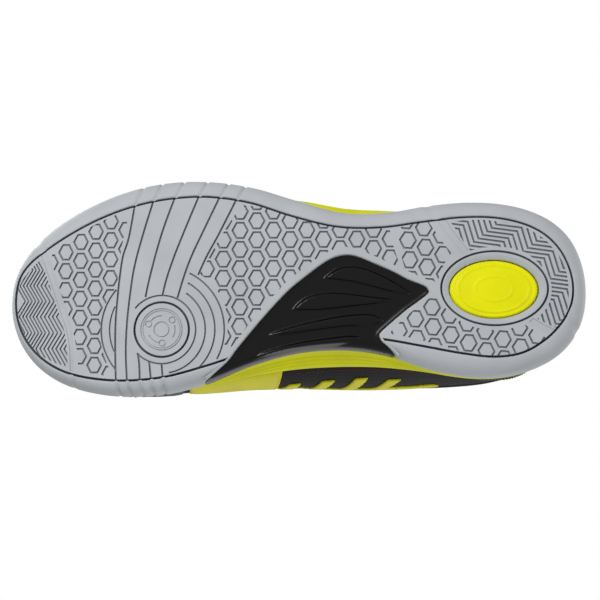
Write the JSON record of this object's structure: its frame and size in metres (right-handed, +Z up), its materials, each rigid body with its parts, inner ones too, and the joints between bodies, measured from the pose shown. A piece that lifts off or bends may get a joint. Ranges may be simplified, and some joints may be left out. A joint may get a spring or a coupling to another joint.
{
  "type": "court shoe",
  "caption": "Low-cut left court shoe: grey cupped rubber outsole, yellow foam midsole, glossy arch shank, oval heel cushion, black mesh upper with laced throat and padded collar.",
  "frame": {"origin": "on the ground plane under the middle of the outsole's bounding box", "axes": "+Z up, -Y towards the toe, +Y towards the heel, +X towards the lateral (outer) side of the left foot"},
  "size_m": [0.1132, 0.2996, 0.1133],
  "materials": {
    "outsole_rubber": "matt moulded tread",
    "shank_plate": "glossy moulded plate",
    "cushion_gel": "satin translucent cushion",
    "midsole_foam": "moulded foam skin",
    "board": "non-woven board",
    "insole_foam": "open-cell foam",
    "insole_cloth": "brushed cloth",
    "upper_mesh": "air mesh",
    "overlay_black": "satin welded film",
    "overlay_yellow": "satin welded film",
    "stiffener": "thermoplastic sheet",
    "lining": "knitted lining",
    "collar_foam": "open-cell foam",
    "tongue_mesh": "padded mesh",
    "lace_cord": "woven flat lace",
    "aglet": "crimped film",
    "eyelet": "moulded ring"
  },
  "bodies": {
    "shoe": {"outsole": "outsole_rubber", "arch_shank": "shank_plate", "heel_cushion": "cushion_gel", "midsole": "midsole_foam", "strobel_board": "board", "vamp": "upper_mesh", "quarter_lateral": "upper_mesh", "quarter_medial": "upper_mesh", "toe_cap": "overlay_black", "eyestay_lateral": "overlay_black", "eyestay_medial": "overlay_black", "heel_overlay": "overlay_black", "side_overlay_lateral": "overlay_yellow", "side_overlay_medial": "overlay_yellow", "toe_puff": "stiffener", "heel_counter": "stiffener", "vamp_lining": "lining", "quarter_lining_lateral": "lining", "quarter_lining_medial": "lining", "collar_lining": "lining", "collar_foam": "collar_foam", "tongue": "tongue_mesh", "lace": "lace_cord", "lace_knot": "lace_cord", "eyelet_lateral_1": "eyelet", "eyelet_lateral_2": "eyelet", "eyelet_lateral_3": "eyelet", "eyelet_lateral_4": "eyelet", "eyelet_lateral_5": "eyelet", "eyelet_lateral_6": "eyelet", "eyelet_medial_1": "eyelet", "eyelet_medial_2": "eyelet", "eyelet_medial_3": "eyelet", "eyelet_medial_4": "eyelet", "eyelet_medial_5": "eyelet", "eyelet_medial_6": "eyelet"},
    "insole": {"insole_foam": "insole_foam", "insole_cloth": "insole_cloth"},
    "tongue_free_end": {"tongue_top": "tongue_mesh"},
    "bow_lateral": {"bow_loop_lateral": "lace_cord"},
    "bow_medial": {"bow_loop_medial": "lace_cord"},
    "end_lateral": {"lace_end_lateral": "lace_cord", "aglet_lateral": "aglet"},
    "end_medial": {"lace_end_medial": "lace_cord", "aglet_medial": "aglet"}
  },
  "joints": [
    {"name": "tongue_top_flex", "type": "hinge", "parent": "shoe", "child": "tongue_free_end", "pos_m": [-0.00228, 0.0241, 0.1028], "axis": [1, 0, 0], "range_deg": [0, 35]},
    {"name": "insole_lift", "type": "hinge", "parent": "shoe", "child": "insole", "pos_m": [-0.00528, -0.1329, 0.0292], "axis": [1, 0, 0], "range_deg": [0, 5]},
    {"name": "bow_lateral_lift", "type": "hinge", "parent": "shoe", "child": "bow_lateral", "pos_m": [-0.00298, 0.0121, 0.1103], "axis": [0, -1, 0], "range_deg": [0, 60]},
    {"name": "bow_medial_lift", "type": "hinge", "parent": "shoe", "child": "bow_medial", "pos_m": [-0.00298, 0.0121, 0.1103], "axis": [0, 1, 0], "range_deg": [0, 60]},
    {"name": "end_lateral_lift", "type": "hinge", "parent": "shoe", "child": "end_lateral", "pos_m": [-0.00298, 0.0121, 0.1103], "axis": [-0.76, -0.65, 0], "range_deg": [0, 30]},
    {"name": "end_medial_lift", "type": "hinge", "parent": "shoe", "child": "end_medial", "pos_m": [-0.00298, 0.0121, 0.1103], "axis": [-0.76, 0.65, 0], "range_deg": [0, 30]}
  ]
}
